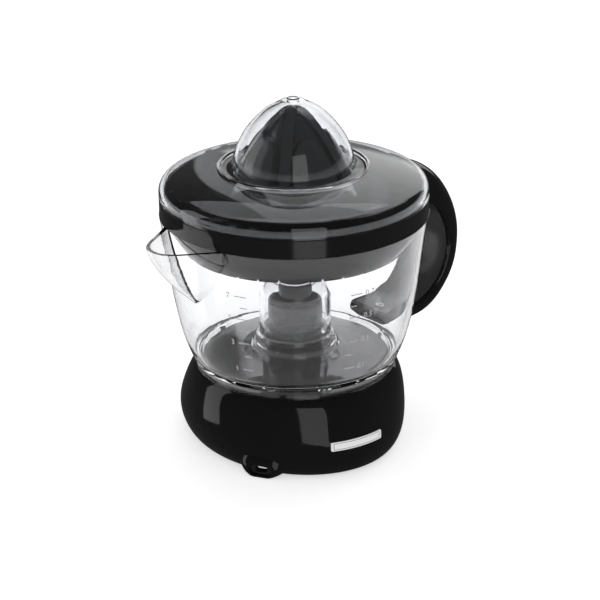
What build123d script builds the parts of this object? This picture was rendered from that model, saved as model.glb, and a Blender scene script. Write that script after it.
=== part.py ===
from build123d import *
from math import acos, atan2, cos, pi, radians, sin, tan
import os

# Citrus press juicer: a motor base, a clear jug with a spout and a handle, a strainer, a reamer and
# a clear lid. Millimetres, +Z up. The origin is on the drive axis, on the surface that the foot ring
# stands on. +X points to the handle, -X to the spout and -Y to the front.

os.makedirs("parts", exist_ok=True)

# ---- Driving dimensions ----

# Heights of the parting lines, from the table up.
foot_height = 2.0
seat_z = 46.8            # the jug stands here on the base
tower_top_z = 73.2       # the base's own drive tower ends here
cap_top_z = 85.0
jug_foot_z = 47.0
rim_z = 137.4            # jug rim, under the strainer's collar
collar_top_z = 147.8     # strainer's collar, under the lid
dome_foot_z = 164.0
lid_top_z = 201.7

# Radii about the drive axis.
lid_radius = 75.0
jug_rim_radius = 75.3
dome_radius = 34.1
reamer_radius = 32.3
reamer_foot_z = 160.0
reamer_height = 37.0
tower_radius = 15.0
jug_tower_radius = 20.4
jug_wall = 2.2

# Side of the base, from the bottom edge up to the seat, where it becomes round: height, mean radius,
# and how much deeper than wide it is on each side.
base_side = [(1.6, 61.0, 5.0), (8.0, 64.6, 4.5), (20.0, 66.0, 3.6), (31.0, 64.2, 2.4),
             (40.5, 61.2, 1.4), (46.0, 56.9, 0.01)]
base_setback = 3.8       # the middle of its lower half stands this far behind the drive axis
setback_fade = 26.0      # over this height under the seat
base_wall = 2.4

# Outside of the jug's wall, from its foot up to the rim: radius, height.
jug_side = [(57.4, 48.4), (60.8, 57.0), (64.2, 67.0), (66.6, 77.0), (68.6, 88.0), (70.6, 101.0),
            (72.4, 116.0), (74.0, 129.0), (jug_rim_radius, rim_z)]

# Spout.
spout_reach = 98.0       # tip of the spout from the drive axis
spout_half_width = 26.0  # where it leaves the rim
spout_foot_z = 100.6
spout_fall = 26.5        # how far its keel runs back under the tip, over spout_depth
spout_depth = 36.0

# Handle: a C about its own centre in the XZ plane.
handle_centre = (74.0, 93.5)
handle_half_width = 17.0
handle_wall = 2.4

# Fits between pieces.
running_gap = 0.06       # radial, shaft in bush
sliding_gap = 0.1
loose_gap = 0.3
stroke = 2.5             # how far the reamer pushes the drive shaft down

# Drive.
shaft_radius = 4.0
shaft_hex = 6.9          # across flats
shaft_foot_z = 17.5
shaft_top_z = 117.0
fine_module = 0.8
coarse_module = 1.0
pinion_teeth = 12
idler_teeth = 54
output_teeth = 44
mesh_slack = 0.1         # added to each centre distance

# Where things stand in the base, as azimuths about the drive axis in degrees.
motor_azimuth = 60.0
switch_azimuth = -60.0
inlet_azimuth = -149.0
badge_azimuth = -98.5
chassis_boss_azimuths = (20.0, 160.0, 270.0)
plate_boss_azimuths = (-10.0, 140.0, 190.0, 285.0)
key_azimuths = (-137.0, -17.0, 103.0)
motor_distance = 33.0

idler_distance = coarse_module * (pinion_teeth + output_teeth) / 2 + mesh_slack
motor_to_idler = fine_module * (pinion_teeth + idler_teeth) / 2 + mesh_slack
idler_turn = acos((idler_distance ** 2 + motor_distance ** 2 - motor_to_idler ** 2)
                  / (2 * idler_distance * motor_distance))
idler_azimuth = motor_azimuth + idler_turn * 180 / pi


def around(radius, azimuth, z=0.0):
    """A point at this radius and azimuth about the drive axis."""
    return (radius * cos(radians(azimuth)), radius * sin(radians(azimuth)), z)


motor_spot = around(motor_distance, motor_azimuth)
idler_spot = around(idler_distance, idler_azimuth)


def facing(radius, azimuth, z):
    """A plane on a vertical wall: its x runs round the wall and its z points away from the drive axis."""
    return Plane(origin=around(radius, azimuth, z), x_dir=around(1, azimuth + 90),
                 z_dir=around(1, azimuth))


def upright(spot=(0, 0, 0)):
    """A vertical plane through a spot, with x along +X and y up."""
    return Plane(origin=(spot[0], spot[1], 0), x_dir=(1, 0, 0), z_dir=(0, -1, 0))


def turned(points, spot=(0, 0, 0)):
    """A piece turned about the vertical line through spot, from radius, height corners."""
    with BuildPart() as piece:
        with BuildSketch(upright(spot)):
            with BuildLine():
                Polyline(*points, close=True)
            make_face()
        revolve(axis=Axis((spot[0], spot[1], 0), (0, 0, 1)))
    return piece


def washer(spot, bottom, top, outer, inner):
    """A plain ring standing at spot."""
    return turned([(inner, bottom), (outer, bottom), (outer, top), (inner, top)], spot)


def screw_group(spots, seat, tip, head_radius, shank_radius):
    """Pan-head screws, one at each x, y spot: heads against the height seat, points at tip."""
    head_height = 1.2
    outward = -1 if tip > seat else 1
    with BuildPart() as screws:
        for spot in spots:
            with Locations((spot[0], spot[1], seat + outward * head_height / 2)):
                Cylinder(head_radius, head_height)
            with Locations((spot[0], spot[1], (seat + tip) / 2)):
                Cylinder(shank_radius, abs(tip - seat))
            with Locations((spot[0], spot[1], seat + outward * head_height)):
                Box(0.9, head_radius * 1.2, 0.8, mode=Mode.SUBTRACT)
                Box(head_radius * 1.2, 0.9, 0.8, mode=Mode.SUBTRACT)
    return screws


def involute(angle):
    return tan(angle) - angle


def gear_points(teeth, module, turn):
    """Outline of a spur gear with 25 degree involute teeth, one tooth centred on the angle turn."""
    pressure = radians(25)
    pitch = teeth * module / 2
    base = pitch * cos(pressure)
    root = pitch - 1.2 * module
    tip = pitch + 0.92 * module
    thinning = 0.06 * module
    radii = [base + (tip - base) * step / 5 for step in range(6)]
    points = []
    for tooth in range(teeth):
        middle = turn + 2 * pi * tooth / teeth
        flank = []
        for radius in radii:
            half = (pi / 2 / teeth - thinning / pitch + involute(pressure)
                    - involute(acos(min(1, base / radius))))
            flank.append((radius, half))
        side = [(root, flank[0][1])] + flank
        points += [(r * cos(middle - h), r * sin(middle - h)) for r, h in side]
        points += [(r * cos(middle + h), r * sin(middle + h)) for r, h in reversed(side)]
    return points


def gear_disc(spot, bottom, top, teeth, module, turn):
    """A toothed disc standing at spot."""
    with BuildPart() as disc:
        with BuildSketch(Plane.XY.offset(bottom)):
            with Locations((spot[0], spot[1])):
                with BuildLine(mode=Mode.PRIVATE) as outline:
                    Polyline(*gear_points(teeth, module, turn), close=True)
                add(make_face(outline.edges(), mode=Mode.PRIVATE))
        extrude(amount=top - bottom)
    return disc


# ---- Base ----

def base_block(grow):
    """The solid inside the base's side, grown outwards by a distance."""
    with BuildPart() as block:
        for z, radius, stretch in base_side:
            setback = base_setback * min(1, (base_side[-1][0] - z) / setback_fade)
            with BuildSketch(Plane.XY.offset(z)):
                with Locations((0, setback)):
                    Ellipse(radius - stretch + grow, radius + stretch + grow)
        loft()
    return block


badge_size = (32.6, 5.2)
badge_z = 20.4
badge_recess = 0.5


def badge_slab(clearance, depth, height):
    """The badge's outline, cut out of the base's side from depth under the skin to height over it."""
    with BuildPart() as slab:
        with BuildSketch(facing(50.0, badge_azimuth, badge_z)):
            RectangleRounded(badge_size[0] + clearance, badge_size[1] + clearance, 0.8)
        extrude(amount=30.0)
        add(base_block(height).part, mode=Mode.INTERSECT)
        add(base_block(-depth).part, mode=Mode.SUBTRACT)
    return slab


deck_edge_r, deck_edge_z = 53.0, 49.4
deck_foot_r, deck_foot_z = tower_radius + 3, 51.4
tower_bore = 12.2
tower_foot_z = 42.6
hood_bottom_z = 0.4
inlet_size = (13.0, 6.2)
inlet_z = 4.6
boss_wall_distance = 48.5


def inlet_slab(clearance, inner, outer):
    """The cord inlet's rounded outline, drawn in by a clearance, between two radii."""
    with BuildPart() as slab:
        with BuildSketch(facing(inner, inlet_azimuth, inlet_z)):
            RectangleRounded(inlet_size[0] - 2 * clearance, inlet_size[1] - 2 * clearance,
                             inlet_size[1] / 2 - clearance - 0.05)
        extrude(amount=outer - inner)
    return slab


with BuildPart() as base_housing:
    add(base_block(0.0).part)
    # Hood over the cord inlet: radius, width, height.
    with BuildPart(mode=Mode.PRIVATE) as hood:
        for radius, width, height in ((54.0, 28.0, 14.0), (58.5, 26.0, 13.4), (62.8, 17.0, 9.8)):
            with BuildSketch(facing(radius, inlet_azimuth, hood_bottom_z + height / 2)):
                RectangleRounded(width, height, height * 0.48)
        loft()
    add(hood.part)
    # Inside of the wall, up to the underside of the seat.
    with BuildPart(mode=Mode.PRIVATE) as hollow:
        add(base_block(-base_wall).part)
        with Locations((0, 0, 43.0)):
            Cylinder(80.0, 20.0, align=(Align.CENTER, Align.CENTER, Align.MIN), mode=Mode.SUBTRACT)
    add(hollow.part, mode=Mode.SUBTRACT)
    # Seat, deck and drive tower.
    with BuildSketch(Plane.XZ):
        with BuildLine():
            Polyline((0, 45.0), (56.2, 45.0), (56.7, 46.0), (56.1, seat_z), (53.6, seat_z),
                     (deck_edge_r, deck_edge_z))
            ThreePointArc((deck_edge_r, deck_edge_z), (36.0, 50.9), (deck_foot_r, deck_foot_z))
            ThreePointArc((deck_foot_r, deck_foot_z), (deck_foot_r - 2.12, deck_foot_z + 0.88),
                          (tower_radius, deck_foot_z + 3))
            Polyline((tower_radius, deck_foot_z + 3), (tower_radius, tower_top_z), (0, tower_top_z),
                     (0, 45.0))
        make_face()
    revolve(axis=Axis.Z)
    with BuildSketch(Plane.XZ):
        with BuildLine():
            Polyline((0, 42.9), (54.0, 42.9), (54.0, 43.8), (51.6, 44.2), (50.8, 47.0))
            ThreePointArc((50.8, 47.0), (34.0, 48.5), (tower_radius, 48.9))
            Polyline((tower_radius, 48.9), (0, 48.9), (0, 42.9))
        make_face()
    revolve(axis=Axis.Z, mode=Mode.SUBTRACT)
    with Locations((0, 0, tower_foot_z)):
        Cylinder(tower_radius, 50.0 - tower_foot_z, align=(Align.CENTER, Align.CENTER, Align.MIN))
    Cylinder(tower_bore, 200.0, mode=Mode.SUBTRACT)
    # Bosses for the chassis plate, hanging from the deck.
    for azimuth in chassis_boss_azimuths:
        with Locations(around(48.0, azimuth, 29.05)):
            Cylinder(4.0, 48.0 - 29.05, align=(Align.CENTER, Align.CENTER, Align.MIN))
        with Locations(around(48.0, azimuth, 29.0)):
            Cylinder(1.45, 11.0, align=(Align.CENTER, Align.CENTER, Align.MIN), mode=Mode.SUBTRACT)
    # Bosses for the bottom plate.
    for azimuth in plate_boss_azimuths:
        with Locations(around(boss_wall_distance, azimuth, 4.45)):
            Cylinder(4.0, 48.0 - 4.45, align=(Align.CENTER, Align.CENTER, Align.MIN))
        with Locations(around(boss_wall_distance, azimuth, 4.4)):
            Cylinder(1.45, 12.0, align=(Align.CENTER, Align.CENTER, Align.MIN), mode=Mode.SUBTRACT)
    # Keys that stop the jug from turning.
    for azimuth in key_azimuths:
        with Locations(Location(around(54.9, azimuth, seat_z - 0.4), (0, 0, azimuth))):
            Box(3.2, 3.0, 2.6, align=(Align.CENTER, Align.CENTER, Align.MIN))
    add(inlet_slab(0.0, 50.0, 70.0).part, mode=Mode.SUBTRACT)
    # Shallow recess for the badge.
    add(badge_slab(0.3, badge_recess, 2.0).part, mode=Mode.SUBTRACT)

badge = badge_slab(0.0, badge_recess - 0.02, 0.3)

# Bottom plate, with a seat for the press spring. The foot ring is held by pegs in its holes.
peg_azimuths = (35.0, 125.0, 215.0, 305.0)
foot_distance = 42.0
foot_half_width = 3.2
plate_bottom_z = foot_height
plate_top_z = 4.4
plate_gap = 0.4
spring_radius = 4.2
spring_wire = 0.9
spring_foot_z = 6.4
spring_top_z = 15.0

with BuildPart() as base_plate:
    with BuildSketch(Plane.XY.offset(plate_bottom_z)):
        with Locations((0, base_setback)):
            plate_mean_radius = base_side[0][1] - base_wall - plate_gap
            Ellipse(plate_mean_radius - base_side[0][2], plate_mean_radius + base_side[0][2])
    extrude(amount=plate_top_z - plate_bottom_z)
    with Locations((0, 0, plate_top_z)):
        Cylinder(6.2, spring_foot_z - plate_top_z, align=(Align.CENTER, Align.CENTER, Align.MIN))
    with Locations((0, 0, spring_foot_z)):
        Cylinder(3.0, 2.4, align=(Align.CENTER, Align.CENTER, Align.MIN))
    for azimuth in peg_azimuths:
        with Locations(around(foot_distance, azimuth)):
            Cylinder(2.5, 20.0, mode=Mode.SUBTRACT)
    for azimuth in plate_boss_azimuths:
        with Locations(around(boss_wall_distance, azimuth)):
            Cylinder(1.7, 20.0, mode=Mode.SUBTRACT)
    # Air slots under the motor.
    with Locations(Location(around(28.0, motor_azimuth), (0, 0, motor_azimuth))):
        with GridLocations(4.0, 0, 5, 1):
            Box(1.6, 18.0, 20.0, mode=Mode.SUBTRACT)

ring_inner, ring_outer = foot_distance - foot_half_width, foot_distance + foot_half_width
with BuildPart() as foot_ring:
    add(turned([(ring_inner, foot_height), (ring_inner, 0.6), (ring_inner + 0.6, 0),
                (ring_outer - 0.6, 0), (ring_outer, 0.6), (ring_outer, foot_height)]).part)
    for azimuth in peg_azimuths:
        add(turned([(0, 1.0), (2.5, 1.0), (2.5, 4.45), (3.1, 4.6), (2.2, 6.4), (0, 6.4)],
                   around(foot_distance, azimuth)).part)

plate_screws = screw_group([around(boss_wall_distance, azimuth) for azimuth in plate_boss_azimuths],
                           plate_bottom_z, 14.0, 2.9, 1.4)

# Drive tower: cap, bush and lip seal.
tower_cap = turned([(12.1, 66.0), (12.1, tower_top_z), (15.4, tower_top_z), (15.4, 83.6), (14.4, 84.8),
                    (12.8, cap_top_z), (12.8, 83.4), (8.0, 83.4), (8.0, 75.0), (6.0, 75.0),
                    (6.0, 72.0), (10.2, 72.0), (10.2, 66.0)])
tower_bush = turned([(shaft_radius + running_gap, 75.05), (7.98, 75.05), (7.98, 83.35),
                     (shaft_radius + running_gap, 83.35)])
tower_seal = turned([(shaft_radius + 0.25, 83.5), (12.7, 83.5), (12.7, 85.4), (11.6, 86.2),
                     (shaft_radius + 1.2, 86.2), (shaft_radius + 0.25, 84.6)])

# ---- Gearbox and motor ----

chassis_z, chassis_top_z = 27.0, 28.8
motor_radius = 23.0
motor_foot_z = 7.0
gear_low_z, gear_low_top_z = 29.5, 32.5      # motor pinion and the idler's large gear
gear_high_z, gear_high_top_z = 34.2, 40.0    # the idler's small gear and the output gear

motor_screw_spots = [around(motor_distance, motor_azimuth + side) for side in (-24.0, 24.0)]

with BuildPart() as chassis_plate:
    arms = [(motor_spot, 17.0), (idler_spot, 8.0)]
    arms += [(around(48.0, azimuth), 5.5) for azimuth in chassis_boss_azimuths]
    for spot, radius in arms:
        with BuildSketch(Plane.XY.offset(chassis_z)):
            Circle(10.0)
            with Locations(spot[:2]):
                Circle(radius)
            make_hull()
        extrude(amount=chassis_top_z - chassis_z)
    with Locations((0, 0, 22.5)):
        Cylinder(8.2, chassis_z - 22.5, align=(Align.CENTER, Align.CENTER, Align.MIN))
    Cylinder(6.0, 80.0, mode=Mode.SUBTRACT)
    with Locations(motor_spot):
        Cylinder(7.0, 80.0, mode=Mode.SUBTRACT)
    with Locations(idler_spot):
        Cylinder(2.0, 80.0, mode=Mode.SUBTRACT)
    for azimuth in chassis_boss_azimuths:
        with Locations(around(48.0, azimuth)):
            Cylinder(1.7, 80.0, mode=Mode.SUBTRACT)
    for spot in motor_screw_spots:
        with Locations((*spot[:2], chassis_z + 0.3)):
            Cylinder(1.6, 10.0, mode=Mode.SUBTRACT)
            Cone(1.6, 3.0, chassis_top_z - chassis_z - 0.3,
                 align=(Align.CENTER, Align.CENTER, Align.MIN), mode=Mode.SUBTRACT)

chassis_screws = screw_group([around(48.0, azimuth) for azimuth in chassis_boss_azimuths],
                             chassis_z, 38.0, 2.9, 1.4)
lower_bush = turned([(shaft_radius + running_gap, 21.6), (7.4, 21.6), (7.4, 22.45), (5.97, 22.45),
                     (5.97, 28.9), (shaft_radius + running_gap, 28.9)])

motor_can = turned([(0, motor_foot_z), (motor_radius, motor_foot_z), (motor_radius, 25.4),
                    (motor_radius - 1.0, 25.4), (motor_radius - 1.0, motor_foot_z + 1.0),
                    (4.4, motor_foot_z + 1.0), (4.4, 9.6), (1.5 + running_gap, 9.6),
                    (1.5 + running_gap, 8.4), (0, 8.4)], motor_spot)
motor_cover_blank = turned([(1.5 + running_gap, 24.0), (4.4, 24.0), (4.4, 25.5), (motor_radius, 25.5),
                            (motor_radius, 26.9), (6.6, 26.9), (6.6, 28.4),
                            (1.5 + running_gap, 28.4)], motor_spot)
with BuildPart() as motor_cover:
    add(motor_cover_blank.part)
    with Locations(*[(*spot[:2], 26.0) for spot in motor_screw_spots]):
        Cylinder(1.35, 6.0, mode=Mode.SUBTRACT)
with BuildPart() as motor_screws:
    for spot in motor_screw_spots:
        with Locations((*spot[:2], 25.0)):
            Cylinder(1.3, chassis_z + 0.4 - 25.0, align=(Align.CENTER, Align.CENTER, Align.MIN))
        with Locations((*spot[:2], chassis_z + 0.4)):
            Cone(1.3, 2.6, 1.4, align=(Align.CENTER, Align.CENTER, Align.MIN))
        with Locations((*spot[:2], chassis_top_z)):
            Box(0.8, 3.6, 1.2, mode=Mode.SUBTRACT)
            Box(3.6, 0.8, 1.2, mode=Mode.SUBTRACT)

motor_winding = turned([(15.4, 9.0), (21.6, 9.0), (21.6, 24.2), (15.4, 24.2)], motor_spot)
pole_count = 12
with BuildPart() as motor_poles:
    with Locations((*motor_spot[:2], 8.1)):
        Cylinder(21.6, 0.7, align=(Align.CENTER, Align.CENTER, Align.MIN))
        Cylinder(13.7, 0.7, align=(Align.CENTER, Align.CENTER, Align.MIN), mode=Mode.SUBTRACT)
    with Locations((*motor_spot[:2], 8.1)):
        with PolarLocations(14.4, pole_count):
            Box(1.2, 3.6, 15.6, align=(Align.CENTER, Align.CENTER, Align.MIN))
rotor_magnet = turned([(1.5, 10.2), (13.2, 10.2), (13.2, 23.4), (1.5, 23.4)], motor_spot)
motor_shaft = turned([(0, 8.6), (1.5, 8.6), (1.5, 33.6), (1.2, 34.0), (0, 34.0)], motor_spot)

# Gears. A tooth of each large gear points at its pinion, and a gap of the pinion points back.
motor_to_idler_angle = atan2(idler_spot[1] - motor_spot[1], idler_spot[0] - motor_spot[0])
half_tooth = pi / pinion_teeth

with BuildPart() as motor_pinion:
    add(gear_disc(motor_spot, 29.0, 33.0, pinion_teeth, fine_module,
                  motor_to_idler_angle + half_tooth).part)
    with Locations((*motor_spot[:2], 31.0)):
        Cylinder(1.5, 6.0, mode=Mode.SUBTRACT)

with BuildPart() as idler_gear:
    add(gear_disc(idler_spot, gear_low_z, gear_low_top_z, idler_teeth, fine_module,
                  motor_to_idler_angle + pi).part)
    add(gear_disc(idler_spot, gear_low_top_z, gear_high_top_z + 0.6, pinion_teeth, coarse_module,
                  radians(idler_azimuth) + pi + half_tooth).part)
    with Locations((*idler_spot[:2], 28.9)):
        Cylinder(4.0, 1.0, align=(Align.CENTER, Align.CENTER, Align.MIN))
    with Locations((*idler_spot[:2], 35.0)):
        with PolarLocations(14.0, 6):
            Cylinder(4.0, 20.0, mode=Mode.SUBTRACT)
        Cylinder(2.0 + running_gap, 20.0, mode=Mode.SUBTRACT)

idler_pin = turned([(0, chassis_z), (2.0, chassis_z), (2.0, 41.0), (1.6, 41.0), (1.6, 41.8),
                    (2.0, 41.8), (2.0, 42.6), (1.7, 42.9), (0, 42.9)], idler_spot)
with BuildPart() as idler_clip:
    add(turned([(1.65, 41.05), (4.2, 41.05), (4.2, 41.75), (1.65, 41.75)], idler_spot).part)
    with Locations((idler_spot[0] + 3.0, idler_spot[1], 41.4)):
        Box(6.0, 2.2, 2.0, mode=Mode.SUBTRACT)


def hex_bar(bottom, top, across):
    """A hexagonal bar on the drive axis."""
    with BuildPart() as bar:
        with BuildSketch(Plane.XY.offset(bottom)):
            RegularPolygon(across / 2 / cos(pi / 6), 6)
        extrude(amount=top - bottom)
    return bar


with BuildPart() as output_gear:
    add(gear_disc((0, 0), gear_high_z, gear_high_top_z, output_teeth, coarse_module,
                  radians(idler_azimuth)).part)
    for bottom, top in ((gear_high_z, gear_high_z + 1.5), (gear_high_top_z - 1.5, gear_high_top_z)):
        add(washer((0, 0), bottom, top, 18.4, 9.0).part, mode=Mode.SUBTRACT)
    with Locations((0, 0, 37.0)):
        with PolarLocations(13.4, 6):
            Cylinder(2.6, 10.0, mode=Mode.SUBTRACT)
    with Locations((0, 0, 29.1)):
        Cylinder(5.3, 42.2 - 29.1, align=(Align.CENTER, Align.CENTER, Align.MIN))
    with Locations((0, 0, gear_high_z)):
        Cylinder(9.0, 42.2 - gear_high_z, align=(Align.CENTER, Align.CENTER, Align.MIN))
    add(washer((0, 0), gear_high_top_z - 2.0, tower_foot_z - 0.3, 17.6, 16.2).part)
    add(hex_bar(29.0, 43.0, shaft_hex + 2 * sliding_gap).part, mode=Mode.SUBTRACT)

# The drive shaft is round in its bushes and hexagonal in the output gear and in the reamer's stem.
with BuildPart() as drive_shaft:
    with Locations((0, 0, shaft_foot_z)):
        Cylinder(shaft_radius, 28.95 - shaft_foot_z, align=(Align.CENTER, Align.CENTER, Align.MIN))
    add(hex_bar(28.95, 46.0, shaft_hex).part)
    with Locations((0, 0, 46.0)):
        Cylinder(shaft_radius, 87.5 - 46.0, align=(Align.CENTER, Align.CENTER, Align.MIN))
    add(hex_bar(87.5, shaft_top_z, shaft_hex).part)
    chamfer(drive_shaft.faces().sort_by(Axis.Z)[-1].edges(), 0.8)

thrust_pad = turned([(0, spring_top_z + 0.05), (9.0, spring_top_z + 0.05), (9.0, 16.8), (5.8, 17.4),
                     (5.8, 20.2), (shaft_radius + 0.02, 20.2), (shaft_radius + 0.02, shaft_foot_z),
                     (0, shaft_foot_z)])

spring_rise = spring_top_z - spring_foot_z - spring_wire - 0.2
with BuildPart() as press_spring:
    with BuildLine():
        coil = Helix(pitch=spring_rise / 5, height=spring_rise, radius=spring_radius,
                     center=(0, 0, spring_foot_z + spring_wire / 2 + 0.1))
    with BuildSketch(Plane(origin=coil @ 0, z_dir=coil % 0)):
        Circle(spring_wire / 2)
    sweep(is_frenet=True)

# Press switch beside the shaft's foot, worked by the thrust pad.
switch_plunger_distance = 7.9
switch_top_z = 11.8
with BuildPart() as switch_body:
    with Locations(Location(around(16.4, switch_azimuth, plate_top_z + 0.05), (0, 0, switch_azimuth))):
        Box(19.8, 6.4, switch_top_z - plate_top_z - 0.05,
            align=(Align.CENTER, Align.CENTER, Align.MIN))
    chamfer(switch_body.edges().filter_by(Axis.Z), 0.6)
    with Locations(around(switch_plunger_distance, switch_azimuth, 5.8)):
        Cylinder(1.2 + 0.1, 20.0, align=(Align.CENTER, Align.CENTER, Align.MIN), mode=Mode.SUBTRACT)
switch_plunger = turned([(0, 8.5), (1.2, 8.5), (1.2, 14.4), (0.9, 14.95), (0, 14.95)],
                        around(switch_plunger_distance, switch_azimuth))
with BuildPart() as switch_terminals:
    for side in (-1.8, 0.0, 1.8):
        with Locations(Location(around(16.4, switch_azimuth, 0), (0, 0, switch_azimuth))):
            with Locations((9.9 + 2.6, side, 8.0)):
                Box(5.2, 0.6, 4.0)

# Mains inlet: gland in the hood, for a flat cord, and a terminal block on the plate.
with BuildPart() as cord_gland:
    add(inlet_slab(0.1, 56.6, 60.8).part)
    with BuildSketch(facing(50.0, inlet_azimuth, inlet_z)):
        SlotOverall(7.4, 3.4)
    extrude(amount=20.0, mode=Mode.SUBTRACT)

terminal_azimuth = 245.0
terminal_frame = Location(around(37.0, terminal_azimuth, plate_top_z + 0.05), (0, 0, terminal_azimuth))
with BuildPart() as terminal_block:
    with Locations(terminal_frame):
        Box(9.0, 18.0, 9.0, align=(Align.CENTER, Align.CENTER, Align.MIN))
        with Locations((0, -5.0, 9.0), (0, 5.0, 9.0)):
            Cylinder(2.0, 10.0, mode=Mode.SUBTRACT)
        with Locations((0, -5.0, 3.2), (0, 5.0, 3.2)):
            Cylinder(1.3, 30.0, rotation=(0, 90, 0), mode=Mode.SUBTRACT)
with BuildPart() as terminal_screws:
    with Locations(terminal_frame):
        with Locations((0, -5.0, 5.2), (0, 5.0, 5.2)):
            Cylinder(1.9, 2.2, align=(Align.CENTER, Align.CENTER, Align.MIN))
        with Locations((0, -5.0, 7.4), (0, 5.0, 7.4)):
            Box(0.6, 4.4, 1.2, mode=Mode.SUBTRACT)

# ---- Jug ----

jug_bottom_radius = 57.2


def jug_block(grow):
    """The solid inside the jug's wall, grown outwards by a distance."""
    with BuildPart() as block:
        with BuildSketch(Plane.XZ):
            with BuildLine():
                Line((jug_bottom_radius + grow, jug_foot_z), (jug_side[0][0] + grow, jug_side[0][1]))
                wall = Spline(*[(r + grow, z) for r, z in jug_side])
                Polyline(wall @ 1, (0, rim_z), (0, jug_foot_z), (jug_bottom_radius + grow, jug_foot_z))
            make_face()
        revolve(axis=Axis.Z)
    return block


def wall_radius(z):
    """Radius of the jug's outside at a height."""
    for (r0, z0), (r1, z1) in zip(jug_side, jug_side[1:]):
        if z <= z1:
            return r0 + (r1 - r0) * (z - z0) / (z1 - z0)
    return jug_rim_radius


def spout_block(inset, foot_z, top_z):
    """The beak that the spout adds to the jug, shrunk by a distance for its hollow."""
    rim_depth = spout_reach - jug_rim_radius
    with BuildPart() as block:
        for share in (0, 0.08, 0.2, 0.4, 0.6, 0.8, 1):
            z = foot_z + (top_z - foot_z) * share
            reach = spout_reach - spout_fall * (max(0, rim_z - z) / spout_depth) ** 1.5
            depth = max(reach - wall_radius(z), 0.5)
            width = max(spout_half_width * (depth / rim_depth) ** 0.75 - inset * 0.8, 0.8)
            tip = inset - reach
            # One side of the plan, from the tip back into the jug's wall, in shares of depth and width.
            side = [(tip + depth * back, width * out)
                    for back, out in ((0.035, 0.19), (0.18, 0.385), (0.42, 0.55), (0.79, 0.75),
                                      (1.1, 0.93), (1.4, 1.1))]
            with BuildSketch(Plane.XY.offset(z)):
                with BuildLine():
                    Spline(*[(x, -y) for x, y in reversed(side)], (tip, 0), *side)
                    Polyline(side[-1], (-50.0, side[-1][1] * 0.6), (-50.0, -side[-1][1] * 0.6),
                             (side[-1][0], -side[-1][1]))
                make_face()
        loft()
    return block


jug_spout = spout_block(0.0, spout_foot_z, rim_z)
jug_spout_hollow = spout_block(jug_wall, spout_foot_z + jug_wall, rim_z + 0.3)
lug_half_width = 6.0
upper_screw_x, lower_screw_x = 79.5, 68.5

with BuildPart() as jug:
    add(jug_block(0.0).part)
    add(jug_spout.part)
    # Lugs inside the two ends of the handle.
    with Locations((79.0, 0, 136.15)):
        Box(11.0, 2 * lug_half_width, 2.3)
    with Locations((66.0, 0, 55.9)):
        Box(13.0, 2 * lug_half_width, 2.8)
    with Locations((upper_screw_x, 0, 136.0), (lower_screw_x, 0, 55.9)):
        Cylinder(1.3, 8.0, mode=Mode.SUBTRACT)
    # Inside, down to the floor and round the hollow tower.
    with BuildSketch(Plane.XZ):
        with BuildLine():
            inside = Spline((jug_rim_radius - jug_wall, rim_z + 0.1),
                            *[(r - jug_wall, z) for r, z in reversed(jug_side[2:-1])], (59.0, 58.6))
            ThreePointArc((59.0, 58.6), (57.2, 55.6), (54.2, 54.4))
            Polyline((54.2, 54.4), (30.0, 56.0), (25.8, 57.0), (24.6, 60.6))
            ThreePointArc((24.6, 60.6), (21.5, 62.6), (jug_tower_radius, 66.4))
            Line((jug_tower_radius, 66.4), (jug_tower_radius, 87.0))
            ThreePointArc((jug_tower_radius, 87.0), (18.5, 93.2), (13.6, 96.6))
            Polyline((13.6, 96.6), (0, 96.6), (0, rim_z + 0.1), inside @ 0)
        make_face()
    revolve(axis=Axis.Z, mode=Mode.SUBTRACT)
    add(jug_spout_hollow.part, mode=Mode.SUBTRACT)
    # Underneath: the skirt, the hollow of the tower and the hole in its top.
    with BuildSketch(Plane.XZ):
        with BuildLine():
            Polyline((0, 46.0), (54.2, 46.0), (54.2, 52.0), (30.0, 53.7), (23.5, 55.0), (22.3, 59.2))
            ThreePointArc((22.3, 59.2), (19.3, 61.4), (18.2, 66.2))
            Line((18.2, 66.2), (18.2, 86.6))
            ThreePointArc((18.2, 86.6), (16.7, 91.7), (12.6, 94.4))
            Polyline((12.6, 94.4), (10.6, 94.4), (10.6, 98.0), (0, 98.0), (0, 46.0))
        make_face()
    revolve(axis=Axis.Z, mode=Mode.SUBTRACT)
    # Notches over the base's keys.
    for azimuth in key_azimuths:
        with Locations(Location(around(55.5, azimuth, 46.0), (0, 0, azimuth))):
            Box(6.0, 3.8, 3.6, align=(Align.CENTER, Align.CENTER, Align.MIN), mode=Mode.SUBTRACT)


# ---- Handle ----

def handle_radii(angle):
    """Distances from the handle's centre to its inner face, its edges and its crown."""
    share = angle / 90
    crown = 45.0 + 7.3 * share + 11.2 * share ** 2 - 7.0 * share ** 4
    if angle > 0:
        return 31.5 + 5.5 * share ** 2, 36.5 + 1.5 * share ** 2, crown
    return 31.5, 36.5 + 0.2 * share, crown


def handle_plane(angle, shift=0.0):
    """Section plane at an angle round the handle: x across it and y outward."""
    return Plane(origin=(handle_centre[0] + shift, 0, handle_centre[1]), x_dir=(0, 1, 0),
                 z_dir=(sin(radians(angle)), 0, -cos(radians(angle))))


handle_stations = [(90, -10.0), (90, -5.0)]
handle_stations += [(angle, 0.0) for angle in range(90, -91, -20)]
handle_stations += [(-90, -7.0), (-90, -14.0), (-90, -21.0)]


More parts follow.
